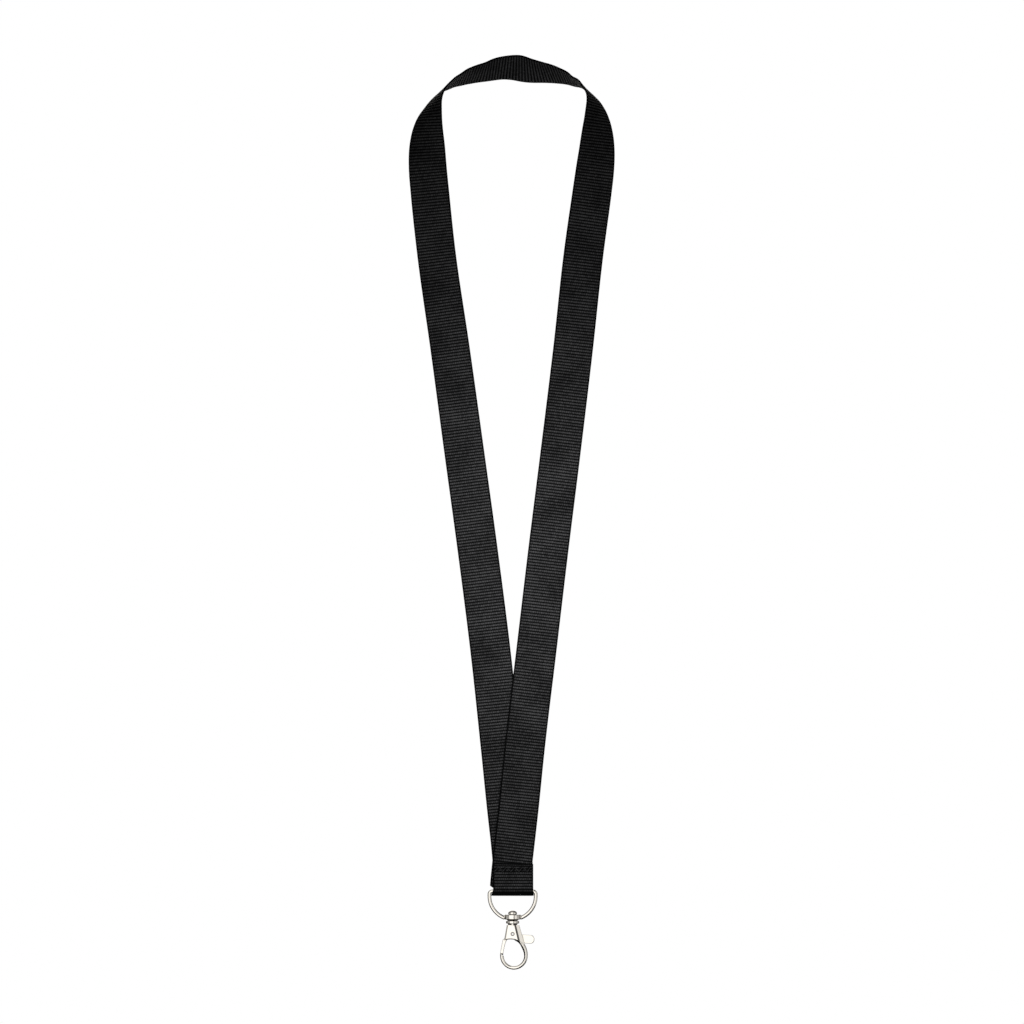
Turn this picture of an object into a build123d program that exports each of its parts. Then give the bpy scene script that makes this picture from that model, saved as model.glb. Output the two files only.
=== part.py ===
from build123d import *
import math
import os

# Neck lanyard: one long band of ribbed webbing, folded round the bar of a cast D-ring and
# sewn, with a swivelling trigger hook below it. Millimetres, +Z up, stored hanging.
# The origin is the middle of the band's underside at its highest point, where it rests on
# the neck. The front of the lanyard faces -Y, and the band's fronts hang in one plane.

# Webbing
BAND_WIDTH = 20.0
BAND_THICK = 0.9
LAYER_GAP = 0.05
FRONT_Y = -17.0
LAYER_STEP = BAND_THICK + LAYER_GAP

# D-ring
WIRE_R = 0.95
BAR_Z = -415.1
BAR_HALF = 10.15
RING_R = 11.65
RING_CENTRE_Z = -417.6
BOSS_R = 4.35
BOSS_TOP_Z = -426.9
BOSS_BOTTOM_Z = -429.3
FOOT_TOP_R = 3.4
FOOT_END_R = 2.4
FOOT_Z = -430.0

# Swivel
STEM_R = 1.3
SWIVEL_CLEARANCE = 0.07
HEAD_R = 2.2
HEAD_EASE = 0.2
HEAD_HEIGHT = 2.15
DOME_RISE = 1.1
COLLAR_R = 3.35
COLLAR_EASE = 0.3
COLLAR_TOP_Z = FOOT_Z - 0.06
COLLAR_BOTTOM_Z = -431.4
NECK_TOP_R = 2.7
NECK_END_R = 2.1
STEM_END_Z = -432.6

# Hook
BODY_TOP_Z = -432.1
BODY_END_Z = -441.8
STOCK_WIDTH = 1.85
STOCK_DEPTH = 2.4
EYE_X = 0.65
EYE_Z = -447.65
EYE_R = 6.05
LIMB_R = 9.6
LIMB_TOP_Z = -440.0
LIMB_SWELL = 0.65
LIMB_DEEPER = 0.75
NOSE_Z = -446.2
ARCH_DRAFT = 26.0
LIMB_DRAFT = 38.0

# Gate lever, pivot and spring
PIVOT_Z = -436.6
PIN_R = 0.7
PIN_CLEARANCE = 0.07
PIN_HALF = 1.75
COUNTERBORE_R = 1.05
COUNTERBORE_Y = 1.3
LEVER_THICK = 1.5
LEVER_EASE = 0.35
HUB_R = 1.9
GATE_REACH = 11.8
NOSE_GAP = 0.1
BLADE_ROOT_Z = -439.0
TAB_ROOT_X = 3.0
TAB_CORNER_R = 2.0
SLOT_WIDTH = 1.64
SLOT_ROOF_Z = -434.2
SPRING_X = 1.9
SPRING_TOP_Z = -432.95
SPRING_SEAT_Z = -435.6
SPRING_R = 0.5
SPRING_WIRE_R = 0.11
SPRING_TURNS = 4
SPRING_POCKET_R = 0.8

# Slopes of the body's cast faces
LEFT_BEVEL_DROP = 0.62
RIDGE_SLOPE = 0.18
FACET_SLOPE = 0.28
BODY_EASE = 0.3
LIMB_STEPS = 4

# Front outlines of the arch, from its left foot down inside the right limb, of the flare
# inside that limb, of the lever, of the slot that it turns in and of the nose's end: x, z.
# The wedge that slopes the blade's end is seen from the side: y, z.
ARCH_CURVE = [
    (-3.8, -440.1),
    (-1.2, -439.75),
    (1.1, -439.95),
    (3.1, -441.2),
    (4.35, -443.1),
    (5.15, -445.0),
    (5.5, -446.6),
]
LIMB_CURVE = [(4.1, -443.2), (5.1, -445.1), (5.55, -447.5), (5.2, -449.2), (4.0, -450.8)]
BLADE_OUTLINE = [
    (-1.7, -437.4),
    (-3.9, -438.7),
    (-4.95, -439.5),
    (-5.9, -444.4),
    (-6.2, -446.0),
    (-6.3, -448.5),
    (-4.9, -448.5),
    (-4.66, -446.2),
    (-4.36, -444.5),
    (-3.87, -442.2),
    (-3.38, -440.6),
    (-2.4, -438.9),
    (0.3, -438.4),
]
ARM_OUTLINE = [
    (0.3, -434.75),
    (1.15, -434.95),
    (1.15, SPRING_SEAT_Z),
    (2.7, SPRING_SEAT_Z),
    (4.8, -436.85),
    (11.0, -437.3),
    (11.0, -441.6),
    (6.1, -441.3),
    (2.0, -438.6),
    (0.3, -438.4),
]
SLOT_OUTLINE = [
    (-2.3, SLOT_ROOF_Z),
    (9.0, SLOT_ROOF_Z),
    (9.0, -441.75),
    (6.0, -441.45),
    (1.9, -438.75),
    (0.2, -440.7),
    (-8.0, -440.7),
    (-8.0, -438.6),
    (-3.4, -437.9),
    (-2.3, -437.2),
]
TIP_WEDGE = [(-1.75, -445.6), (1.75, -448.3), (-1.75, -448.3)]
NOSE_BLOCK = [(-8.0, -445.6), (-4.0, -445.6), (-4.0, -448.6), (-8.0, -448.6)]

# Fold of the webbing round the bar
CUT_END_Z = -400.7
FLARE_Z = -409.8
FOLD_R = WIRE_R + 0.08 + BAND_THICK / 2
FOLD_X = 0.1
FOLD_STEPS = 10

# Seam
SEAM_Z = -404.1
THREAD_R = 0.22
STITCHES = 9
STITCH_PITCH = 2.05
STITCH_RISE = 1.9
STITCH_BEND_R = 0.4

# Course of the band from the back of the seam, up its left run, over the neck, down its
# right run and into the seam: centre x, y, z, and the band's roll about its run in degrees.
# A roll of 0 faces the front, 90 is edge-on, and past 90 the underside shows.
LEFT_RUN = [
    (0.1, -16.05, -409.8, 0),
    (0.0, -16.05, -400.3, 0),
    (-0.5, -16.05, -394.3, 0),
    (-2.7, -16.0, -374.3, 0),
    (-5.8, -15.9, -344.0, 0),
    (-11.2, -15.9, -293.6, 2),
    (-17.6, -16.2, -243.2, 4),
    (-24.5, -16.6, -192.8, 7),
    (-31.4, -16.9, -142.4, 12),
    (-38.6, -17.0, -92.0, 16),
    (-41.8, -17.0, -61.7, 16),
    (-42.7, -16.8, -51.7, 18),
    (-43.1, -16.2, -41.6, 25),
    (-42.8, -15.0, -31.5, 41),
    (-41.9, -14.0, -25.5, 53),
    (-40.8, -13.0, -21.4, 63),
    (-39.3, -11.8, -17.2, 74),
    (-36.9, -10.5, -13.1, 84),
    (-34.8, -9.6, -10.7, 90),
]
NECK_RUN = [
    (-31.0, -8.2, -8.0, 98),
    (-27.5, -7.0, -6.1, 102),
    (-24.1, -5.8, -4.6, 108),
    (-20.0, -4.5, -3.3, 112),
    (-14.0, -2.5, -1.8, 116),
    (-8.9, -1.1, -0.45, 121),
    (-4.0, -0.1, 0.3, 124),
    (0.0, 0.27, 0.36, 127),
    (4.0, 0.0, -0.1, 129),
    (9.4, -1.1, -1.15, 125),
    (15.4, -2.6, -2.0, 119),
    (21.6, -4.6, -3.1, 113),
    (26.2, -6.1, -4.4, 107),
    (29.4, -7.2, -5.7, 103),
    (31.8, -8.1, -6.9, 98),
    (34.3, -9.1, -8.2, 95),
]
RIGHT_RUN = [
    (36.6, -10.2, -10.4, 90),
    (39.0, -11.3, -13.0, 84),
    (41.1, -12.4, -17.2, 72),
    (42.1, -13.4, -21.3, 61),
    (42.6, -14.3, -25.5, 52),
    (42.8, -15.2, -31.5, 41),
    (42.5, -16.3, -41.6, 27),
    (41.5, -16.9, -51.7, 17),
    (40.2, -17.0, -61.7, 13),
    (36.0, -17.0, -92.0, 9),
    (30.4, -17.0, -142.4, 8),
    (24.3, -17.2, -192.8, 4),
    (18.0, -17.4, -243.2, 1),
    (12.0, -17.5, -293.6, 0),
    (6.0, -17.4, -344.0, 0),
    (2.9, -17.2, -374.3, 0),
    (0.6, -17.0, -394.3, 0),
    (-0.1, -17.0, -400.3, 0),
    (-1.4, -17.0, -413.1, 0),
]


def fold_course():
    """Centres of the band from its front cut end, down and round the ring's bar."""
    front = FRONT_Y - LAYER_STEP
    centres = [Vector(FOLD_X, front, CUT_END_Z), Vector(FOLD_X, front, FLARE_Z)]
    for step in range(FOLD_STEPS + 1):
        angle = math.pi * step / FOLD_STEPS
        y = FRONT_Y - FOLD_R * math.cos(angle)
        z = BAR_Z - FOLD_R * math.sin(angle)
        centres.append(Vector(FOLD_X, y, z))
    return centres


def across_band(run, roll):
    """Direction across the band where it runs along `run` and is rolled by `roll`."""
    flat = Vector(run.Z, 0, -run.X).normalized()
    edge_on = flat.cross(run).normalized()
    turn = math.radians(roll)
    return flat * math.cos(turn) + edge_on * math.sin(turn)


def band_section(centre, run, across):
    """Rectangular outline of the band at one place of its course."""
    plane = Plane(origin=centre, x_dir=across, z_dir=run)
    return plane * Rectangle(BAND_WIDTH, BAND_THICK)


def make_neck_strap():
    """The whole band as one solid, ruled from section to section."""
    fold = fold_course()
    course = LEFT_RUN + NECK_RUN + RIGHT_RUN
    centres = fold + [Vector(x, y, z) for x, y, z, roll in course]
    rolls = [None] * len(fold) + [roll for x, y, z, roll in course]
    sections = []
    length = 0.0
    for i, centre in enumerate(centres):
        before = centres[max(i - 1, 0)]
        after = centres[min(i + 1, len(centres) - 1)]
        run = (after - before).normalized()
        length += (centre - before).length
        across = Vector(1, 0, 0) if rolls[i] is None else across_band(run, rolls[i])
        sections.append(band_section(centre, run, across))
    strap = loft(sections, ruled=True)
    print("band length", round(length, 1), "volume", round(strap.volume, 1))
    print("length times section", round(length * BAND_WIDTH * BAND_THICK, 1))
    return strap


def make_zigzag(surface_y, lock_y):
    """One thread of the lockstitch: a zigzag on a face, with a leg down at each hole."""
    holes = []
    for i in range(STITCHES + 1):
        x = FOLD_X + (i - STITCHES / 2) * STITCH_PITCH
        z = SEAM_Z + STITCH_RISE * (0.5 if i % 2 else -0.5)
        holes.append(Vector(x, surface_y, z))
    course = FilletPolyline(holes, radius=STITCH_BEND_R)
    start = Plane(origin=course @ 0, z_dir=course % 0)
    thread = sweep(start * Circle(THREAD_R), path=course)
    leg = Cylinder(THREAD_R - 0.02, abs(lock_y - surface_y), align=(Align.CENTER, Align.CENTER, Align.MIN))
    down = (0, math.copysign(1, lock_y - surface_y), 0)
    for hole in holes:
        thread += Plane(origin=hole, z_dir=down) * leg
    return thread


def make_needle_thread():
    face = FRONT_Y - LAYER_STEP - BAND_THICK / 2
    return make_zigzag(face - 0.05, FRONT_Y - THREAD_R - 0.03)


def make_bobbin_thread():
    face = FRONT_Y + LAYER_STEP + BAND_THICK / 2
    return make_zigzag(face + 0.05, FRONT_Y + THREAD_R + 0.03)


def z_cylinder(radius, bottom, top, x=0.0):
    """Cylinder about a vertical axis in the hook's plane, between two heights."""
    solid = Cylinder(radius, top - bottom, align=(Align.CENTER, Align.CENTER, Align.MIN))
    return Pos(x, FRONT_Y, bottom) * solid


def z_cone(bottom_radius, top_radius, bottom, top):
    """Cone about the swivel's axis, between two heights."""
    solid = Cone(bottom_radius, top_radius, top - bottom, align=(Align.CENTER, Align.CENTER, Align.MIN))
    return Pos(0, FRONT_Y, bottom) * solid


def front_plane():
    """Plane of the metal parts, seen from the front: local x is +X and local y is +Z."""
    return Plane(origin=(0, FRONT_Y, 0), x_dir=(1, 0, 0), z_dir=(0, -1, 0))


def make_d_ring():
    """Round wire bent to a D with its bar on top, and the swivel boss cast on its bow."""
    corner = RING_R - BAR_HALF
    side_z = BAR_Z - corner
    with BuildLine(front_plane()) as outline:
        Line((-BAR_HALF, BAR_Z), (BAR_HALF, BAR_Z))
        RadiusArc((BAR_HALF, BAR_Z), (RING_R, side_z), corner)
        Line((RING_R, side_z), (RING_R, RING_CENTRE_Z))
        ThreePointArc((RING_R, RING_CENTRE_Z), (0, RING_CENTRE_Z - RING_R), (-RING_R, RING_CENTRE_Z))
        Line((-RING_R, RING_CENTRE_Z), (-RING_R, side_z))
        RadiusArc((-RING_R, side_z), (-BAR_HALF, BAR_Z), corner)
    start = Plane(origin=(-BAR_HALF, FRONT_Y, BAR_Z), z_dir=(1, 0, 0))
    ring = sweep(start * Circle(WIRE_R), path=outline.wires()[0])
    boss = z_cylinder(BOSS_R, BOSS_BOTTOM_Z, BOSS_TOP_Z)
    boss = chamfer(boss.edges().filter_by(GeomType.CIRCLE), 0.25)
    ring = ring + boss
    ring -= z_cylinder(BOSS_R + 0.4, BOSS_BOTTOM_Z - 2.0, BOSS_BOTTOM_Z)
    ring += z_cone(FOOT_END_R, FOOT_TOP_R, FOOT_Z, BOSS_BOTTOM_Z)
    return ring - z_cylinder(STEM_R + SWIVEL_CLEARANCE, FOOT_Z - 1.0, BOSS_TOP_Z + 1.0)


def make_swivel_rivet():
    """Domed head above the boss, with a stem down through it into the hook."""
    seat = BOSS_TOP_Z + 0.05
    rim = seat + HEAD_HEIGHT - DOME_RISE
    dome_r = (HEAD_R**2 + DOME_RISE**2) / (2 * DOME_RISE)
    half_turn = math.asin(HEAD_R / dome_r) / 2
    shoulder = (dome_r * math.sin(half_turn), rim + DOME_RISE - dome_r * (1 - math.cos(half_turn)))
    with BuildSketch(front_plane()) as half:
        with BuildLine():
            Line((0, STEM_END_Z), (STEM_R, STEM_END_Z))
            Line((STEM_R, STEM_END_Z), (STEM_R, seat))
            Line((STEM_R, seat), (HEAD_R - HEAD_EASE, seat))
            Line((HEAD_R - HEAD_EASE, seat), (HEAD_R, seat + HEAD_EASE))
            Line((HEAD_R, seat + HEAD_EASE), (HEAD_R, rim))
            ThreePointArc((HEAD_R, rim), shoulder, (0, rim + DOME_RISE))
            Line((0, rim + DOME_RISE), (0, STEM_END_Z))
        make_face()
    return revolve(half.sketch, axis=Axis((0, FRONT_Y, 0), (0, 0, 1)))


def body_section(z, left, plate_left, plate_right, facet_left, right, depth):
    """Section of the hook's body: a flat plate on both faces, eased to two narrow sides."""
    left_side = depth - LEFT_BEVEL_DROP
    facet = depth - (facet_left - plate_right) * RIDGE_SLOPE
    right_side = facet - (right - facet_left) * FACET_SLOPE
    front = [
        (left, -left_side),
        (plate_left, -depth),
        (plate_right, -depth),
        (facet_left, -facet),
        (right, -right_side),
    ]
    back = [(x, -y) for x, y in reversed(front)]
    outline = Polyline(front + back, close=True)
    return Plane(origin=(0, FRONT_Y, z)) * make_face(outline.edges())


def make_collar():
    """Round collar with eased rims, and the tapered neck that joins it to the body."""
    collar = z_cylinder(COLLAR_R, COLLAR_BOTTOM_Z, COLLAR_TOP_Z)
    collar = fillet(collar.edges().filter_by(GeomType.CIRCLE), COLLAR_EASE)
    return collar + z_cone(NECK_END_R, NECK_TOP_R, BODY_TOP_Z - 0.3, COLLAR_BOTTOM_Z + COLLAR_EASE)


def limb_centre(rise):
    """Centre of the right limb at a height above the eye's centre, and the direction up it."""
    lean = math.asin(rise / LIMB_R)
    x = EYE_X + EYE_R - LIMB_R * (1 - math.cos(lean))
    return Vector(x, FRONT_Y, EYE_Z + rise), Vector(-math.sin(lean), 0, math.cos(lean))


def make_bow():
    """Oval stock of the hook from its nose round the bottom of the eye."""
    left, right = EYE_X - EYE_R, EYE_X + EYE_R
    with BuildLine(front_plane()) as course:
        Line((left, NOSE_Z), (left, EYE_Z))
        ThreePointArc((left, EYE_Z), (EYE_X, EYE_Z - EYE_R), (right, EYE_Z))
    start = Plane(origin=(left, FRONT_Y, NOSE_Z), x_dir=(1, 0, 0), z_dir=(0, 0, -1))
    stock = start * Ellipse(STOCK_WIDTH / 2, STOCK_DEPTH / 2)
    return sweep(stock, path=course.wires()[0])


def make_limb():
    """Right limb of the eye, which swells as it rises into the body."""
    sections = []
    for step in range(LIMB_STEPS + 1):
        share = step / LIMB_STEPS
        centre, up = limb_centre((LIMB_TOP_Z - EYE_Z) * share)
        plane = Plane(origin=centre, x_dir=(0, 1, 0), z_dir=up)
        depth = STOCK_DEPTH + LIMB_DEEPER * share
        width = STOCK_WIDTH + LIMB_SWELL * share
        sections.append(plane * Ellipse(depth / 2, width / 2))
    return loft(sections)


def prism(points, width):
    """Prism of the given front outline, centred on the hook's plane."""
    face = front_plane() * make_face(Polyline(points, close=True).edges())
    return extrude(face, amount=width / 2, both=True)


def make_arch():
    """Space under the body's arch, flaring towards both faces."""
    left, crown, shoulder, bend, limb, inner, right = ARCH_CURVE
    with BuildSketch(front_plane()) as under_arch:
        with BuildLine():
            ThreePointArc(left, crown, shoulder)
            ThreePointArc(shoulder, bend, limb)
            ThreePointArc(limb, inner, right)
            Line(right, (-9.0, right[1]))
            Line((-9.0, right[1]), (-9.0, left[1]))
            Line((-9.0, left[1]), left)
        make_face()
    return extrude(under_arch.sketch, amount=3.0, both=True, taper=-ARCH_DRAFT)


def make_limb_flare():
    """Flare of the eye's right side towards both faces, which leaves a flat on the limb."""
    top, upper, middle, lower, bottom = LIMB_CURVE
    with BuildSketch(front_plane()) as inside_limb:
        with BuildLine():
            ThreePointArc(top, upper, middle)
            ThreePointArc(middle, lower, bottom)
            Line(bottom, (EYE_X, EYE_Z))
            Line((EYE_X, EYE_Z), top)
        make_face()
    return extrude(inside_limb.sketch, amount=2.0, both=True, taper=-LIMB_DRAFT)


def make_hook_body():
    """Cast hook: collar, body with a slot for the lever, and the open eye."""
    top = body_section(BODY_TOP_Z, -2.9, -2.25, 0.75, 1.75, 3.35, 2.1)
    bottom = body_section(BODY_END_Z, -4.65, -3.85, 3.05, 4.1, 6.1, 1.65)
    body = loft([top, bottom], ruled=True)
    middle = (BODY_TOP_Z + BODY_END_Z) / 2
    long_edges = body.edges().filter_by(lambda edge: abs(edge.center().Z - middle) < 0.5)
    body = fillet(long_edges, BODY_EASE)
    body = body + make_limb() - make_arch()
    body = body + make_collar() + make_bow() - make_limb_flare()
    body -= prism(SLOT_OUTLINE, SLOT_WIDTH)
    body -= z_cylinder(SPRING_POCKET_R, SLOT_ROOF_Z - 0.1, SPRING_TOP_Z + 0.03, SPRING_X)
    body -= z_cylinder(STEM_R, STEM_END_Z, COLLAR_TOP_Z + 1.0)
    body -= y_cylinder(PIN_R, -3.0, 3.0)
    body -= y_cylinder(COUNTERBORE_R, COUNTERBORE_Y, 3.0)
    body -= y_cylinder(COUNTERBORE_R, -3.0, -COUNTERBORE_Y)
    gate_sweep = y_cylinder(GATE_REACH + NOSE_GAP, -3.0, 3.0)
    return body - (gate_sweep & prism(NOSE_BLOCK, 2 * STOCK_DEPTH))


def y_cylinder(radius, back, front):
    """Cylinder about the lever's pivot, between two depths from the hook's plane."""
    plane = Plane(origin=(0, FRONT_Y + back, PIVOT_Z), z_dir=(0, 1, 0))
    return plane * Cylinder(radius, front - back, align=(Align.CENTER, Align.CENTER, Align.MIN))


def make_pivot_pin():
    """Short pin across the hook's two cheeks, with its ends lightly chamfered."""
    pin = y_cylinder(PIN_R, -PIN_HALF, PIN_HALF)
    return chamfer(pin.edges().filter_by(GeomType.CIRCLE), 0.12)


def rim_edges(solid):
    """Edges round the front and back faces of a flat piece."""
    faces = solid.faces().filter_by(Axis.Y).sort_by(Axis.Y)
    return faces[0].outer_wire().edges() + faces[-1].outer_wire().edges()


def make_blade():
    """Gate blade with eased rims, its end sloping back so that it closes behind the nose's lip."""
    blade = prism(BLADE_OUTLINE, LEVER_THICK) & y_cylinder(GATE_REACH, -3.0, 3.0)
    free_rims = rim_edges(blade).filter_by(lambda edge: edge.center().Z < BLADE_ROOT_Z)
    blade = fillet(free_rims, LEVER_EASE)
    slope_plane = Plane(origin=(0, FRONT_Y, 0), x_dir=(0, 1, 0), z_dir=(1, 0, 0))
    wedge = Polyline(TIP_WEDGE, close=True)
    return blade - extrude(slope_plane * make_face(wedge.edges()), amount=8.0, both=True)


def make_tab():
    """Arm and thumb tab with a rounded end and eased rims."""
    tab = prism(ARM_OUTLINE, LEVER_THICK)
    tip = tab.edges().filter_by(Axis.Y).sort_by(Axis.X)[-2:]
    tab = fillet(tip, TAB_CORNER_R)
    free_rims = rim_edges(tab).filter_by(lambda edge: edge.center().X > TAB_ROOT_X)
    return fillet(free_rims, LEVER_EASE)


def make_gate_lever():
    """Stamped lever: hub on the pin, gate blade down the left and thumb tab to the right."""
    hub = y_cylinder(HUB_R, -LEVER_THICK / 2, LEVER_THICK / 2)
    lever = hub + make_blade() + make_tab()
    return lever - y_cylinder(PIN_R + PIN_CLEARANCE, -3.0, 3.0)


def make_gate_spring():
    """Compression spring that presses the lever's arm down, so that the gate stays shut."""
    height = SPRING_TOP_Z - SPRING_SEAT_Z - 2 * SPRING_WIRE_R - 0.06
    helix = Helix(pitch=height / SPRING_TURNS, height=height, radius=SPRING_R)
    section = Plane(origin=helix @ 0, z_dir=helix % 0) * Circle(SPRING_WIRE_R)
    spring = sweep(section, path=helix, is_frenet=True)
    return Pos(SPRING_X, FRONT_Y, SPRING_SEAT_Z + SPRING_WIRE_R + 0.03) * spring


PARTS = {
    "neck_strap": make_neck_strap,
    "needle_thread": make_needle_thread,
    "bobbin_thread": make_bobbin_thread,
    "d_ring": make_d_ring,
    "swivel_rivet": make_swivel_rivet,
    "hook_body": make_hook_body,
    "pivot_pin": make_pivot_pin,
    "gate_lever": make_gate_lever,
    "gate_spring": make_gate_spring,
}

os.makedirs("parts", exist_ok=True)
for name, make in PARTS.items():
    solid = make()
    export_step(solid, f"parts/{name}.step")
    print(name, round(solid.volume, 2), "mm3")
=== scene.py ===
import math
import random

import bmesh
import bpy
import numpy as np
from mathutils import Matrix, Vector


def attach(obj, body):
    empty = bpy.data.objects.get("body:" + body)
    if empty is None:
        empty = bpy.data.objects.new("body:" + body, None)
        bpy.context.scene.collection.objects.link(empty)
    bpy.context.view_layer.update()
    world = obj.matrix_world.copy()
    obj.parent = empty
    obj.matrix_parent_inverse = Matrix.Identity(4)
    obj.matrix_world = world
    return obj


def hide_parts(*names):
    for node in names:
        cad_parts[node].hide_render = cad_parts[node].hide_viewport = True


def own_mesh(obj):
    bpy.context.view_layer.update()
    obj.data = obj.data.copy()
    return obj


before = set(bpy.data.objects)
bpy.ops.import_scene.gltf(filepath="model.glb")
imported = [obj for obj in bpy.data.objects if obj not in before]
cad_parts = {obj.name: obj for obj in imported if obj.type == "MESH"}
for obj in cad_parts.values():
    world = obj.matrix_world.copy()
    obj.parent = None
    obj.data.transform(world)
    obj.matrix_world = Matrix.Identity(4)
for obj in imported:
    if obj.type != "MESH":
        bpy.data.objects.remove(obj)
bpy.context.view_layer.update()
MM = 0.001

# Webbing, in millimetres like the course below
BAND_WIDTH = 20.2
BAND_COLUMNS = 21
RIB_PITCH = 1.5
CREST_HALF = 0.44
VALLEY_HALF = 0.31
SELVEDGE = 0.9
SELVEDGE_LIFT = 0.03
RIM_HALF = 0.62 * VALLEY_HALF
RIM_INSET = 0.07
FACE_INSET = 0.3
MELTED = 0.9
YARN_PITCH = 1.1
FRAME_STEP = 0.1
SMOOTHED_FRAMES = 61
FRONT_Y = -17.0
LAYER_STEP = 0.95

# Fold of the webbing round the ring's bar
BAR_Z = -415.1
FOLD_R = 1.58
FOLD_X = 0.3
CUT_END_Z = -400.7
FLARE_Z = -409.8
FLARE_LEFT = 0.11
FLARE_RIGHT = 0.03
BULGE = 0.25
BULGE_Z = -412.3
# Height where the painted shade at the bottom of the fold begins, and how dark that painted shade
# gets
FOLD_SHADE_TOP_Z = -413.7
FOLD_PAINTED_SHADE = 0.6
FOLD_SAG = 0.17

# Seam and its twisted threads
SEAM_X = 0.1
SEAM_Z = -404.1
STITCHES = 9
STITCH_PITCH = 2.05
STITCH_RISE = 1.9
DIMPLE_DEPTH = 0.5
HOLE_HALF = 0.16
PLIES = 3
PLY_R = 0.125
PLY_SPREAD = 0.12
PLY_LAY = 1.3

# Ends of the band: the front one is cut a little askew, the hidden one has a worn corner
FRONT_CUT_DROP = 0.3
FRONT_CUT_SKEW = 0.03
TAIL_LENGTH = 8.0
TAIL_DROP = 0.75
TAIL_SKEW = 0.1
TAIL_CORNER = 1.9
TAIL_CORNER_RISE = 1.2

# Spring above the lever's arm
SPRING_X = 1.9
SPRING_TOP_Z = -432.95
SPRING_SEAT_Z = -435.6
SPRING_R = 0.5
SPRING_WIRE_R = 0.11
SPRING_TURNS = 4

# Studio
METAL_ROOM = 1.35
ROOM_LIGHT = 0.12
GROUND_LIGHT = 0.01
LAMP_SIZE = 0.06
FLOOR_HALF = 1.2
FLOOR_Z = -0.6
CAMERA_DISTANCE = 10.0
CAMERA_WIDTH = 0.516

# Course of the band, as its solid has it: centre x, y, z and roll about the run in degrees.
COURSE = [
    (0.1, -16.05, -409.8, 0),
    (0.0, -16.05, -400.3, 0),
    (-0.5, -16.05, -394.3, 0),
    (-2.7, -16.0, -374.3, 0),
    (-5.8, -15.9, -344.0, 0),
    (-11.2, -15.9, -293.6, 2),
    (-17.6, -16.2, -243.2, 4),
    (-24.5, -16.6, -192.8, 7),
    (-31.4, -16.9, -142.4, 12),
    (-38.6, -17.0, -92.0, 16),
    (-41.8, -17.0, -61.7, 16),
    (-42.7, -16.8, -51.7, 18),
    (-43.1, -16.2, -41.6, 25),
    (-42.8, -15.0, -31.5, 41),
    (-41.9, -14.0, -25.5, 53),
    (-40.8, -13.0, -21.4, 63),
    (-39.3, -11.8, -17.2, 74),
    (-36.9, -10.5, -13.1, 84),
    (-34.8, -9.6, -10.7, 90),
    (-31.0, -8.2, -8.0, 98),
    (-27.5, -7.0, -6.1, 102),
    (-24.1, -5.8, -4.6, 108),
    (-20.0, -4.5, -3.3, 112),
    (-14.0, -2.5, -1.8, 116),
    (-8.9, -1.1, -0.45, 121),
    (-4.0, -0.1, 0.3, 124),
    (0.0, 0.27, 0.36, 127),
    (4.0, 0.0, -0.1, 129),
    (9.4, -1.1, -1.15, 125),
    (15.4, -2.6, -2.0, 119),
    (21.6, -4.6, -3.1, 113),
    (26.2, -6.1, -4.4, 107),
    (29.4, -7.2, -5.7, 103),
    (31.8, -8.1, -6.9, 98),
    (34.3, -9.1, -8.2, 95),
    (36.6, -10.2, -10.4, 90),
    (39.0, -11.3, -13.0, 84),
    (41.1, -12.4, -17.2, 72),
    (42.1, -13.4, -21.3, 61),
    (42.6, -14.3, -25.5, 52),
    (42.8, -15.2, -31.5, 41),
    (42.5, -16.3, -41.6, 27),
    (41.5, -16.9, -51.7, 17),
    (40.2, -17.0, -61.7, 13),
    (36.0, -17.0, -92.0, 9),
    (30.4, -17.0, -142.4, 8),
    (24.3, -17.2, -192.8, 4),
    (18.0, -17.4, -243.2, 1),
    (12.0, -17.5, -293.6, 0),
    (6.0, -17.4, -344.0, 0),
    (2.9, -17.2, -374.3, 0),
    (0.6, -17.0, -394.3, 0),
    (-0.1, -17.0, -400.3, 0),
    (-1.4, -17.0, -413.1, 0),
]


def fold_points():
    """Centres of the band from its front cut end, down and round the bar."""
    front, back = FRONT_Y - LAYER_STEP, FRONT_Y + LAYER_STEP
    points = [(FOLD_X, front, z) for z in (CUT_END_Z, -404.0, -407.0, FLARE_Z)]
    points.append((FOLD_X, front - BULGE, BULGE_Z))
    for angle in np.radians(np.linspace(0, 180, 7)):
        y = FRONT_Y - FOLD_R * math.cos(angle)
        points.append((FOLD_X, y, BAR_Z - FOLD_R * math.sin(angle)))
    points.append((FOLD_X, back + BULGE, BULGE_Z))
    return points


def hermite(keys, values, places):
    """Smooth curve through values at keys, read at places."""
    slopes = np.gradient(values, keys, axis=0)
    spans = np.clip(np.searchsorted(keys, places, side="right") - 1, 0, len(keys) - 2)
    step = (keys[spans + 1] - keys[spans])[:, None]
    t = (places - keys[spans])[:, None] / step
    start = (1 + 2 * t) * (1 - t) ** 2 * values[spans] + t * (1 - t) ** 2 * step * slopes[spans]
    end = t**2 * (3 - 2 * t) * values[spans + 1] + t**2 * (t - 1) * step * slopes[spans + 1]
    return start + end


def unit(vectors):
    """Rows of vectors, each brought to length 1."""
    return vectors / np.linalg.norm(vectors, axis=1)[:, None]


def lengths(points):
    """Distance along a row of points, from 0."""
    steps = np.linalg.norm(np.diff(points, axis=0), axis=1)
    return np.concatenate([[0.0], np.cumsum(steps)])


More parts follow.
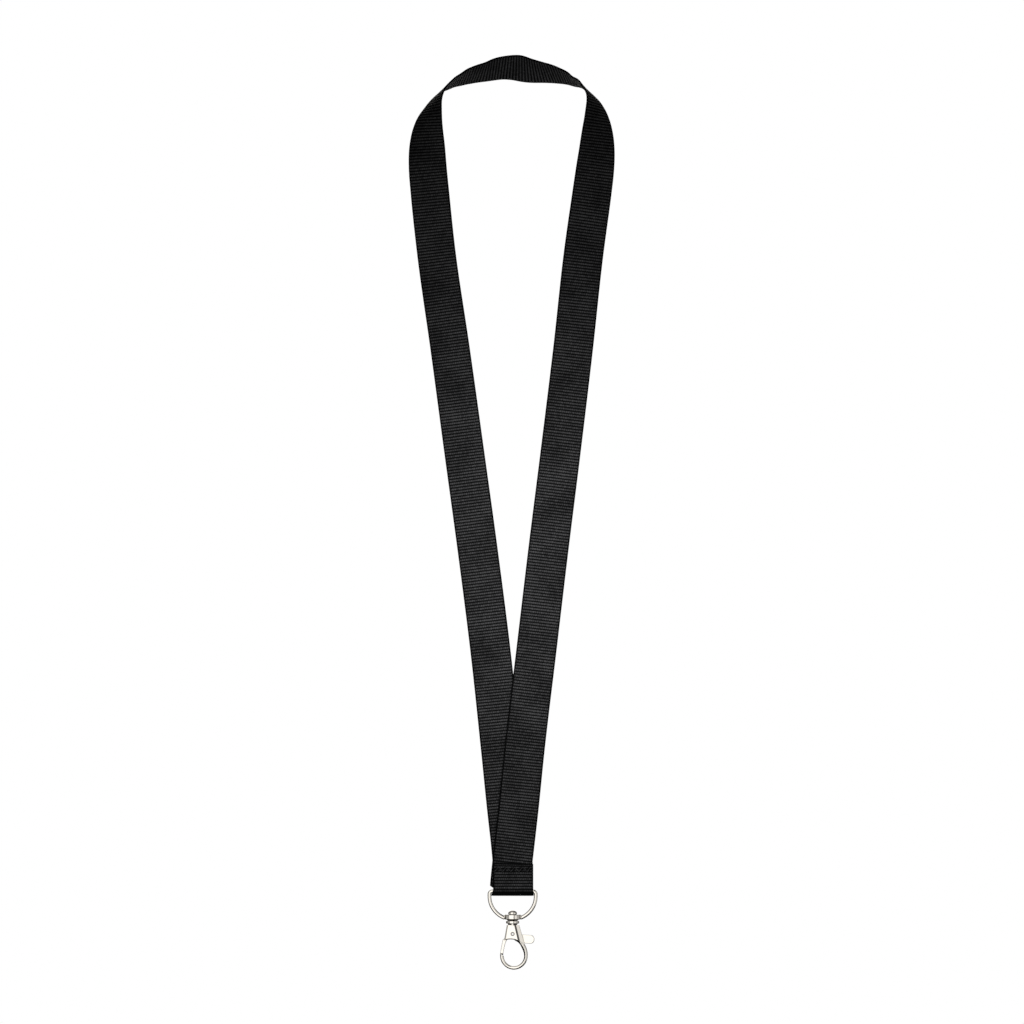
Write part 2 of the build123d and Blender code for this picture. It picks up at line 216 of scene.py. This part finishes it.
def band_frames():
    """Dense frames along the band: distance, centre, and direction across."""
    fold = fold_points()
    points = np.array(fold + [row[:3] for row in COURSE])
    rolls = np.array([[0.0]] * len(fold) + [[row[3]] for row in COURSE])
    keys = lengths(points)
    places = np.arange(0.0, keys[-1], FRAME_STEP)
    centres = hermite(keys, points, places)
    turns = np.radians(hermite(keys, rolls, places))
    smooth_from = int(keys[len(fold) + 2] / FRAME_STEP)
    kernel = np.hanning(SMOOTHED_FRAMES)
    kernel /= kernel.sum()
    for axis in range(3):
        line = centres[smooth_from:, axis]
        trend = np.linspace(line[0], line[-1], len(line))
        padded = np.pad(line - trend, SMOOTHED_FRAMES // 2)
        centres[smooth_from:, axis] = np.convolve(padded, kernel, "valid") + trend
    distance = lengths(centres)
    runs = unit(np.gradient(centres, distance, axis=0))
    flat = unit(np.stack([runs[:, 2], 0 * runs[:, 0] + 1e-9, -runs[:, 0]], axis=1))
    edge_on = unit(np.cross(flat, runs))
    across = flat * np.cos(turns) + edge_on * np.sin(turns)
    in_fold = places < keys[len(fold)]
    across[in_fold] = (1.0, 0.0, 0.0)
    return distance, centres, unit(across)


BAND_S, BAND_CENTRES, BAND_ACROSS = band_frames()
BAND_LENGTH = BAND_S[-1]


def band_at(s):
    """Centres, across and outward directions of the band at distances s."""
    centre = np.stack([np.interp(s, BAND_S, BAND_CENTRES[:, k]) for k in range(3)], axis=1)
    across = unit(np.stack([np.interp(s, BAND_S, BAND_ACROSS[:, k]) for k in range(3)], axis=1))
    ahead = np.stack([np.interp(s + 0.2, BAND_S, BAND_CENTRES[:, k]) for k in range(3)], axis=1)
    behind = np.stack([np.interp(s - 0.2, BAND_S, BAND_CENTRES[:, k]) for k in range(3)], axis=1)
    run = unit(ahead - behind)
    return centre, across, unit(np.cross(run, across))


def add_object(name, mesh, body, material):
    """Smooth-shaded object of one material that rides a body."""
    obj = bpy.data.objects.new(name, mesh)
    bpy.context.scene.collection.objects.link(obj)
    mesh.materials.append(material)
    mesh.polygons.foreach_set("use_smooth", [True] * len(mesh.polygons))
    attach(obj, body)
    return obj


def rib_rows():
    """Distances of the mesh's rows along the band, and each one's rib height from 0 to 1."""
    rows = []
    ribs = int(BAND_LENGTH / RIB_PITCH)
    for rib in range(ribs):
        for phase, height in ((0.0, 0.0), (0.33, 0.9), (0.67, 0.9)):
            rows.append(((rib + phase) * BAND_LENGTH / ribs, height))
    rows.append((BAND_LENGTH, 0.0))
    return np.array(rows)


def seam_dimple(point):
    """How far the stitches pull the band's outer faces in at a point."""
    depth = 0.0
    for i in range(0, STITCHES, 2):
        x = SEAM_X + (i + 0.5 - STITCHES / 2) * STITCH_PITCH
        away = ((point[0] - x) / 0.95) ** 2 + ((point[2] - SEAM_Z) / 1.1) ** 2
        depth += DIMPLE_DEPTH * math.exp(-away)
    return depth


def on_seam(point):
    """True on the outer faces of the three sewn layers."""
    return abs(point[2] - SEAM_Z) < 4.0 and abs(point[1] - FRONT_Y) > LAYER_STEP * 0.85


def painted_shade_amount(point):
    """Painted shade, from 0 to 1, in the stitch dimples of the seam and at the bottom of the fold
    round the bar.
    """
    if on_seam(point):
        return seam_dimple(point) / DIMPLE_DEPTH
    return FOLD_PAINTED_SHADE * min(1.0, max(0.0, (FOLD_SHADE_TOP_Z - point[2]) / 2.0))


def settle(point, s, u):
    """Final place of a mesh point: cut ends askew, the fold flared and the seam pulled in."""
    from_tail = BAND_LENGTH - s
    if s < TAIL_LENGTH:
        fade = (1 - s / TAIL_LENGTH) ** 2
        point[2] -= (FRONT_CUT_DROP + FRONT_CUT_SKEW * u) * fade
    if from_tail < TAIL_LENGTH:
        fade = (1 - from_tail / TAIL_LENGTH) ** 2
        worn = max(0.0, u - BAND_WIDTH / 2 + TAIL_CORNER) / TAIL_CORNER
        point[2] -= (TAIL_DROP + TAIL_SKEW * u - TAIL_CORNER_RISE * worn**2) * fade
    if point[2] < FLARE_Z and from_tail > TAIL_LENGTH:
        flare = min(1.0, (FLARE_Z - point[2]) / 7.0) ** 6
        point[0] += u * (FLARE_LEFT if u < 0 else FLARE_RIGHT) * flare
    if point[2] < BAR_Z:
        point[2] += (point[2] - BAR_Z) * FOLD_SAG
    if on_seam(point):
        point[1] += math.copysign(seam_dimple(point), FRONT_Y - point[1])
    return point


def band_outline(lift):
    """Section of the band, as distances across it and off its middle, for one rib height."""
    half = BAND_WIDTH / 2
    top = []
    for u in np.linspace(-half + FACE_INSET, half - FACE_INSET, BAND_COLUMNS):
        edge = min(1.0, (half - abs(u)) / SELVEDGE)
        height = VALLEY_HALF + (CREST_HALF - VALLEY_HALF) * lift * edge
        top.append((u, height + SELVEDGE_LIFT * (1 - edge)))
    inset = half - RIM_INSET
    right = [(inset, RIM_HALF), (half, 0.0), (inset, -RIM_HALF)]
    bottom = [(u, -height) for u, height in reversed(top)]
    left = [(-inset, -RIM_HALF), (-half, 0.0), (-inset, RIM_HALF)]
    return top + right + bottom + left


def skin_faces(rows, size):
    """Faces between neighbouring rows of a closed section, and one face at each end."""
    faces = []
    for j in range(rows - 1):
        a, b = j * size, (j + 1) * size
        for k in range(size):
            n = (k + 1) % size
            faces.append((a + k, a + n, b + n, b + k))
    last = (rows - 1) * size
    faces.append(tuple(range(size - 1, -1, -1)))
    faces.append(tuple(last + k for k in range(size)))
    return faces


def make_strap(material):
    """The band: ribs across both faces, smooth selvedges and two hot-cut ends."""
    rng = random.Random(11)
    rows = rib_rows()
    s, rib = rows[:, 0], rows[:, 1]
    centre, across, out = band_at(s)
    verts, coords, dimple_and_fold_shade = [], [], []
    for j in range(len(s)):
        end = min(s[j], BAND_LENGTH - s[j])
        melt = max(0.0, 1.0 - end / MELTED)
        lift = rib[j] * (1 - melt) * rng.uniform(0.9, 1.1)
        for u, height in band_outline(lift):
            point = settle(centre[j] + across[j] * u - out[j] * height, s[j], u)
            verts.append(point * MM)
            coords.append((u, s[j]))
            # Painted shade for the stitch dimples and the fold's bottom, kept as a mesh attribute
            dimple_and_fold_shade.append(painted_shade_amount(point))
    mesh = bpy.data.meshes.new("webbing_strap")
    faces = skin_faces(len(s), len(verts) // len(s))
    mesh.from_pydata([tuple(v) for v in verts], [], faces)
    layer = mesh.uv_layers.new(name="weave")
    for corner, loop_vert in zip(layer.data, mesh.loops):
        corner.uv = coords[loop_vert.vertex_index]
    mesh.attributes.new("shade_paint", "FLOAT", "POINT").data.foreach_set("value", dimple_and_fold_shade)
    strap = add_object("webbing_strap", mesh, "strap", material)
    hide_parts("neck_strap")


def stitch_course(surface_y, lock_y):
    """Points of one thread: across the face from hole to hole, with a dip at each hole."""
    points = []
    inward = math.copysign(1, lock_y - surface_y)
    for i in range(STITCHES + 1):
        x = SEAM_X + (i - STITCHES / 2) * STITCH_PITCH
        z = SEAM_Z + STITCH_RISE * (0.5 if i % 2 else -0.5)
        depth = surface_y + (lock_y - surface_y) * 0.55
        points += [(x - HOLE_HALF, surface_y, z), (x, depth, z), (x + HOLE_HALF, surface_y, z)]
        if i < STITCHES:
            sag = inward * (-0.12 if i % 2 else DIMPLE_DEPTH * 0.6)
            points.append((x + STITCH_PITCH / 2, surface_y + sag, SEAM_Z))
    return np.array(points)


def add_tube(mesh, line, side, up, radius, sides=8):
    """Closed round tube along a line, whose section lies along the side and up directions."""
    rings = []
    for k in range(sides):
        angle = 2 * math.pi * k / sides
        ring = line + radius * (side * math.cos(angle) + up * math.sin(angle))
        rings.append([mesh.verts.new(Vector(p) * MM) for p in ring])
    for k in range(sides):
        one, two = rings[k], rings[(k + 1) % sides]
        for j in range(len(one) - 1):
            mesh.faces.new((one[j], two[j], two[j + 1], one[j + 1]))
    mesh.faces.new([rings[k][0] for k in reversed(range(sides))])
    mesh.faces.new([rings[k][-1] for k in range(sides)])


def finished_mesh(name, mesh):
    """Mesh data of an edit mesh, with its faces turned outward."""
    bmesh.ops.recalc_face_normals(mesh, faces=mesh.faces)
    data = bpy.data.meshes.new(name)
    mesh.to_mesh(data)
    mesh.free()
    return data


def twisted_thread(name, course, material):
    """Thread of twisted plies along a course."""
    keys = lengths(course)
    places = np.arange(0, keys[-1], 0.07)
    line = hermite(keys, course, places)
    run = unit(np.gradient(line, places, axis=0))
    side = unit(np.cross(run, np.array([0.0, 0.3, 1.0])))
    up = np.cross(side, run)
    mesh = bmesh.new()
    for ply in range(PLIES):
        turn = 2 * math.pi * (ply / PLIES + places / PLY_LAY)
        middle = line + PLY_SPREAD * (side * np.cos(turn)[:, None] + up * np.sin(turn)[:, None])
        add_tube(mesh, middle, side, up, PLY_R)
    return add_object(name, finished_mesh(name, mesh), "strap", material)


def make_spring(material):
    """Compression spring above the lever's arm."""
    angles = np.linspace(0, 2 * math.pi * SPRING_TURNS, 32 * SPRING_TURNS + 1)
    low, high = SPRING_SEAT_Z + SPRING_WIRE_R + 0.03, SPRING_TOP_Z - SPRING_WIRE_R - 0.03
    outward = np.stack([np.cos(angles), np.sin(angles), 0 * angles], axis=1)
    line = np.array([SPRING_X, FRONT_Y, 0.0]) + SPRING_R * outward
    line[:, 2] = np.linspace(low, high, len(angles))
    up = np.tile([0.0, 0.0, 1.0], (len(angles), 1))
    mesh = bmesh.new()
    add_tube(mesh, line, outward, up, SPRING_WIRE_R)
    spring = add_object("spring_coil", finished_mesh("spring_coil", mesh), "hook", material)
    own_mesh(spring)
    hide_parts("gate_spring")


def new_material(name):
    """Node material with its nodes, links and main shader."""
    material = bpy.data.materials.new(name)
    material.use_nodes = True
    nodes = material.node_tree.nodes
    return material, nodes, material.node_tree.links, nodes["Principled BSDF"]


def value_node(nodes, links, operation, a, b=0.0, c=0.0):
    """Math node whose inputs are sockets or numbers."""
    node = nodes.new("ShaderNodeMath")
    node.operation = operation
    for socket, value in zip(node.inputs, (a, b, c)):
        if isinstance(value, (int, float)):
            socket.default_value = value
        else:
            links.new(value, socket)
    return node.outputs[0]


def smooth_step(nodes, links, value, start, stop):
    """Rises smoothly from 0 at start to 1 at stop."""
    node = nodes.new("ShaderNodeMapRange")
    node.interpolation_type = "SMOOTHSTEP"
    node.inputs["From Min"].default_value = start
    node.inputs["From Max"].default_value = stop
    links.new(value, node.inputs["Value"])
    return node.outputs[0]


def noise_node(nodes, links, source, scale, detail=2.0):
    """Fractal noise over a coordinate socket."""
    node = nodes.new("ShaderNodeTexNoise")
    node.inputs["Scale"].default_value = scale
    node.inputs["Detail"].default_value = detail
    links.new(source, node.inputs["Vector"])
    return node.outputs[0]


def webbing_material():
    """Black polyester webbing: warp yarns beaded over the ribs, dark selvedges, painted sheen on the
    rib crests and painted shade in the furrows, hollows, stitch dimples and fold.
    """
    material, nodes, links, shader = new_material("black_webbing")

    def calc(operation, a, b=0.0, c=0.0):
        return value_node(nodes, links, operation, a, b, c)

    def fade(value, start, stop):
        return smooth_step(nodes, links, value, start, stop)

    uv = nodes.new("ShaderNodeUVMap")
    uv.uv_map = "weave"
    split = nodes.new("ShaderNodeSeparateXYZ")
    links.new(uv.outputs[0], split.inputs[0])
    across, along = split.outputs[0], split.outputs[1]
    ribs = int(BAND_LENGTH / RIB_PITCH)
    rib = calc("MULTIPLY", along, ribs / BAND_LENGTH)
    rib_number = calc("FLOOR", rib)
    shift = calc("MULTIPLY", calc("MODULO", rib_number, 2.0), 0.5)
    wander = noise_node(nodes, links, uv.outputs[0], 0.45, 1.0)
    yarn = calc("MULTIPLY_ADD", across, 1 / YARN_PITCH, calc("MULTIPLY_ADD", wander, 0.9, shift))
    bead = calc("ABSOLUTE", calc("SINE", calc("MULTIPLY", yarn, math.pi)))
    crest = calc("ABSOLUTE", calc("SINE", calc("MULTIPLY", rib, math.pi)))
    relief = calc("MULTIPLY", calc("POWER", bead, 0.42), calc("POWER", crest, 2.2))

    number = nodes.new("ShaderNodeCombineXYZ")
    links.new(calc("FLOOR", yarn), number.inputs[0])
    links.new(rib_number, number.inputs[1])
    chance = nodes.new("ShaderNodeTexWhiteNoise")
    links.new(number.outputs[0], chance.inputs["Vector"])
    patches = noise_node(nodes, links, uv.outputs[0], 0.06, 1.0)
    grain = noise_node(nodes, links, uv.outputs[0], 0.9, 3.0)
    fibre_map = nodes.new("ShaderNodeMapping")
    fibre_map.inputs["Scale"].default_value = (9.0, 1.3, 1.0)
    links.new(uv.outputs[0], fibre_map.inputs["Vector"])
    fibre = noise_node(nodes, links, fibre_map.outputs[0], 1.6)

    from_edge = calc("SUBTRACT", BAND_WIDTH / 2, calc("ABSOLUTE", across))
    from_end = calc("MINIMUM", along, calc("SUBTRACT", BAND_LENGTH, along))
    inside = calc("MULTIPLY", fade(from_edge, 0.45, 0.95), fade(from_end, 0.6, 1.1))
    # Painted sheen and shade: the tone follows the weave's relief, lightest on the rib crests and
    # darkest in the furrows
    tone = calc("MULTIPLY", relief, inside)
    tone = calc("MULTIPLY", tone, calc("MULTIPLY_ADD", chance.outputs["Value"], 0.5, 0.75))
    tone = calc("MULTIPLY", tone, calc("MULTIPLY_ADD", patches, 1.4, 0.3))
    tone = calc("MULTIPLY", tone, calc("MULTIPLY_ADD", grain, 1.0, 0.5))
    # Painted shade: the base colour is darkened in the stitch dimples and at the bottom of the fold
    dimple_and_fold_shade = nodes.new("ShaderNodeAttribute")
    dimple_and_fold_shade.attribute_name = "shade_paint"
    unshaded_share = calc("MAXIMUM", calc("MULTIPLY_ADD", dimple_and_fold_shade.outputs["Fac"], -1.4, 1.0), 0.0)
    tone = calc("MULTIPLY", tone, unshaded_share)
    tone = calc("MULTIPLY", tone, calc("MULTIPLY_ADD", fibre, 1.2, 0.4))
    ramp = nodes.new("ShaderNodeValToRGB")
    ramp.color_ramp.elements[0].position = 0.05
    ramp.color_ramp.elements[0].color = (0.004, 0.004, 0.0042, 1)
    ramp.color_ramp.elements[1].position = 1.0
    ramp.color_ramp.elements[1].color = (0.074, 0.074, 0.076, 1)
    # Painted shade: ambient occlusion darkens the base colour in hollows and under the layers
    ao_shade = nodes.new("ShaderNodeAmbientOcclusion")
    ao_shade.inputs["Distance"].default_value = 0.0012
    ao_shade.samples = 8
    tone = calc("MULTIPLY", tone, calc("POWER", ao_shade.outputs["AO"], 1.5))
    links.new(tone, ramp.inputs[0])
    links.new(ramp.outputs[0], shader.inputs["Base Color"])

    height = calc("MULTIPLY_ADD", fibre, 0.25, calc("MULTIPLY", relief, inside))
    bump = nodes.new("ShaderNodeBump")
    bump.inputs["Strength"].default_value = 0.6
    bump.inputs["Distance"].default_value = 0.00012
    links.new(height, bump.inputs["Height"])
    links.new(bump.outputs[0], shader.inputs["Normal"])
    links.new(calc("MULTIPLY_ADD", grain, 0.2, 0.5), shader.inputs["Roughness"])
    links.new(calc("MULTIPLY", tone, 0.05), shader.inputs["Specular IOR Level"])
    return material


def thread_material():
    """Black polyester thread with fine fibre streaks and painted shade where it sinks into the
    holes.
    """
    material, nodes, links, shader = new_material("black_thread")
    place = nodes.new("ShaderNodeTexCoord")
    fibre = noise_node(nodes, links, place.outputs["Object"], 4000.0)
    ramp = nodes.new("ShaderNodeValToRGB")
    ramp.color_ramp.elements[0].color = (0.002, 0.002, 0.0022, 1)
    ramp.color_ramp.elements[1].position = 0.8
    ramp.color_ramp.elements[1].color = (0.09, 0.09, 0.092, 1)
    # Painted shade: ambient occlusion darkens the thread where it sinks into the stitch holes
    ao_shade = nodes.new("ShaderNodeAmbientOcclusion")
    ao_shade.inputs["Distance"].default_value = 0.0008
    ao_shade.samples = 8
    thread_ao_shade = value_node(nodes, links, "POWER", ao_shade.outputs["AO"], 2.0)
    links.new(value_node(nodes, links, "MULTIPLY", fibre, thread_ao_shade), ramp.inputs[0])
    links.new(ramp.outputs[0], shader.inputs["Base Color"])
    shader.inputs["Roughness"].default_value = 0.5
    shader.inputs["Specular IOR Level"].default_value = 0.02
    return material


def nickel_material(name, tint, rough_low, rough_high, wave):
    """Polished plate over a casting: faint mottling, hairline scuffs, a soft orange peel and painted
    shade in its crevices.
    """
    material, nodes, links, shader = new_material(name)
    place = nodes.new("ShaderNodeTexCoord")
    mottle = noise_node(nodes, links, place.outputs["Object"], 420.0, 4.0)
    ramp = nodes.new("ShaderNodeValToRGB")
    ramp.color_ramp.elements[0].color = (*[c * 0.93 for c in tint], 1)
    ramp.color_ramp.elements[1].color = (*tint, 1)
    links.new(mottle, ramp.inputs[0])
    # Painted shade: ambient occlusion darkens the base colour in crevices, grooves and round the pin
    crevice = nodes.new("ShaderNodeAmbientOcclusion")
    crevice.inputs["Distance"].default_value = 0.00055
    crevice.samples = 8
    darker = nodes.new("ShaderNodeMix")
    darker.data_type = "RGBA"
    darker.blend_type = "MULTIPLY"
    darker.inputs["Factor"].default_value = 1.0
    grey = value_node(nodes, links, "POWER", crevice.outputs["AO"], 1.8)
    links.new(ramp.outputs[0], darker.inputs["A"])
    links.new(grey, darker.inputs["B"])
    links.new(darker.outputs["Result"], shader.inputs["Base Color"])
    rough = nodes.new("ShaderNodeMapRange")
    rough.inputs["To Min"].default_value = rough_low
    rough.inputs["To Max"].default_value = rough_high
    links.new(mottle, rough.inputs["Value"])
    links.new(rough.outputs[0], shader.inputs["Roughness"])
    scuff_map = nodes.new("ShaderNodeMapping")
    scuff_map.inputs["Scale"].default_value = (900.0, 900.0, 6000.0)
    scuff_map.inputs["Rotation"].default_value = (0.3, 0.5, 0.2)
    links.new(place.outputs["Object"], scuff_map.inputs["Vector"])
    scuff = noise_node(nodes, links, scuff_map.outputs[0], 1.0)
    bump = nodes.new("ShaderNodeBump")
    bump.inputs["Strength"].default_value = wave
    bump.inputs["Distance"].default_value = 0.00002
    links.new(scuff, bump.inputs["Height"])
    links.new(bump.outputs[0], shader.inputs["Normal"])
    shader.inputs["Metallic"].default_value = 1.0
    return material


def paint_node(node, material):
    """Gives a CAD node's object one material."""
    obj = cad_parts[node]
    obj.data.materials.clear()
    obj.data.materials.append(material)


def make_floor():
    """Plain pale floor below the hanging lanyard."""
    mesh = bpy.data.meshes.new("floor")
    half = FLOOR_HALF
    corners = [(-half, -half), (half, -half), (half, half), (-half, half)]
    mesh.from_pydata([(x, y, FLOOR_Z) for x, y in corners], [], [(0, 1, 2, 3)])
    floor = bpy.data.objects.new("floor", mesh)
    bpy.context.scene.collection.objects.link(floor)
    material, nodes, links, shader = new_material("pale_floor")
    shader.inputs["Base Color"].default_value = (0.86, 0.86, 0.86, 1)
    shader.inputs["Roughness"].default_value = 0.8
    shader.inputs["Emission Color"].default_value = (1.0, 1.0, 1.0, 1)
    shader.inputs["Emission Strength"].default_value = 0.7
    mesh.materials.append(material)
    floor.visible_glossy = False
    floor.visible_diffuse = False


def make_world():
    """White studio room, which the metal sees with dark and grey cards set round it."""
    world = bpy.data.worlds.new("studio")
    bpy.context.scene.world = world
    world.use_nodes = True
    nodes, links = world.node_tree.nodes, world.node_tree.links
    nodes.clear()
    place = nodes.new("ShaderNodeTexCoord")
    split = nodes.new("ShaderNodeSeparateXYZ")
    links.new(place.outputs["Generated"], split.inputs[0])
    x, y, z = split.outputs

    def calc(operation, a, b=0.0, c=0.0):
        return value_node(nodes, links, operation, a, b, c)

    def step(value, start, stop):
        return smooth_step(nodes, links, value, start, stop)

    # Each card is a range of directions, with the share of the light that it takes.
    front = step(y, 0.2, 0.1)
    back = calc("MULTIPLY", step(y, 0.1, 0.2), step(y, 0.96, 0.9))
    cards = [
        (calc("MULTIPLY", step(x, -0.66, -0.78), front), 0.7),
        (calc("MULTIPLY", step(x, -0.3, -0.4), back), 0.99),
        (calc("MULTIPLY", step(x, 0.2, 0.26), step(x, 0.48, 0.42)), 0.93),
        (calc("MULTIPLY", step(x, 0.42, 0.5), front), 0.3),
        (calc("MULTIPLY", step(x, 0.8, 0.9), front), 0.5),
        (calc("MULTIPLY", step(x, 0.3, 0.4), back), 0.85),
        (calc("MULTIPLY", step(z, -0.3, -0.42), step(y, -0.66, -0.5)), 0.99),
        (calc("MULTIPLY", step(z, 0.45, 0.6), step(y, -0.62, -0.45)), 0.6),
    ]
    level = METAL_ROOM
    for card, darkness in cards:
        level = calc("MULTIPLY", calc("MULTIPLY_ADD", card, -darkness, 1.0), level)

    def background(strength, colour):
        node = nodes.new("ShaderNodeBackground")
        node.inputs[0].default_value = (*colour, 1)
        node.inputs[1].default_value = strength
        return node

    rays = nodes.new("ShaderNodeLightPath")
    metal_room = background(1.0, (1.0, 0.985, 0.95))
    links.new(level, metal_room.inputs[1])
    soft_room = background(1.0, (1.0, 1.0, 1.0))
    height = step(z, -0.5, 0.5)
    room_level = calc("MULTIPLY_ADD", height, ROOM_LIGHT - GROUND_LIGHT, GROUND_LIGHT)
    links.new(room_level, soft_room.inputs[1])
    backdrop = background(1.0, (1.0, 1.0, 1.0))
    inner = nodes.new("ShaderNodeMixShader")
    links.new(rays.outputs["Is Glossy Ray"], inner.inputs[0])
    links.new(soft_room.outputs[0], inner.inputs[1])
    links.new(metal_room.outputs[0], inner.inputs[2])
    outer = nodes.new("ShaderNodeMixShader")
    links.new(rays.outputs["Is Camera Ray"], outer.inputs[0])
    links.new(inner.outputs[0], outer.inputs[1])
    links.new(backdrop.outputs[0], outer.inputs[2])
    out = nodes.new("ShaderNodeOutputWorld")
    links.new(outer.outputs[0], out.inputs[0])


def soft_lamp(name, y, z, power):
    """Square lamp that faces the band's plane at its own height."""
    light = bpy.data.lights.new(name, "AREA")
    light.shape = "SQUARE"
    light.size = LAMP_SIZE
    light.energy = power
    lamp = bpy.data.objects.new(name, light)
    lamp.visible_glossy = False
    lamp.visible_camera = False
    bpy.context.scene.collection.objects.link(lamp)
    lamp.location = (0.0, y, z)
    lamp.rotation_euler = Vector((0.0, -y, 0.0)).to_track_quat("-Z", "Y").to_euler()


def make_camera():
    """Long lens straight in front, framing the lanyard from its neck band to its hook."""
    data = bpy.data.cameras.new("camera")
    camera = bpy.data.objects.new("camera", data)
    bpy.context.scene.collection.objects.link(camera)
    data.sensor_width = 36.0
    data.lens = data.sensor_width * CAMERA_DISTANCE / CAMERA_WIDTH
    data.clip_end = 30.0
    camera.location = (-0.0003, FRONT_Y * MM - CAMERA_DISTANCE, -0.224)
    camera.rotation_euler = (math.radians(90), 0, 0)
    bpy.context.scene.camera = camera


make_camera()
make_world()
make_floor()
soft_lamp("middle_front", -0.2, -0.24, 0.3)
soft_lamp("low_front", -0.2, -0.38, 0.08)
soft_lamp("middle_back", 0.18, -0.24, 0.25)

webbing = webbing_material()
thread = thread_material()
nickel = nickel_material("nickel_plate", (0.86, 0.83, 0.78), 0.08, 0.16, 0.15)
steel = nickel_material("bright_steel", (0.72, 0.72, 0.72), 0.18, 0.28, 0.2)

make_strap(webbing)
off_middle = LAYER_STEP + CREST_HALF + 0.1
needle_course = stitch_course(FRONT_Y - off_middle, FRONT_Y)
bobbin_course = stitch_course(FRONT_Y + off_middle, FRONT_Y)
needle = twisted_thread("needle_stitches", needle_course, thread)
bobbin = twisted_thread("bobbin_stitches", bobbin_course, thread)
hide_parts("needle_thread")
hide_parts("bobbin_thread")
for node in ("d_ring", "swivel_rivet", "hook_body", "gate_lever"):
    paint_node(node, nickel)
paint_node("pivot_pin", steel)
make_spring(steel)

bpy.context.scene.view_settings.view_transform = "Standard"
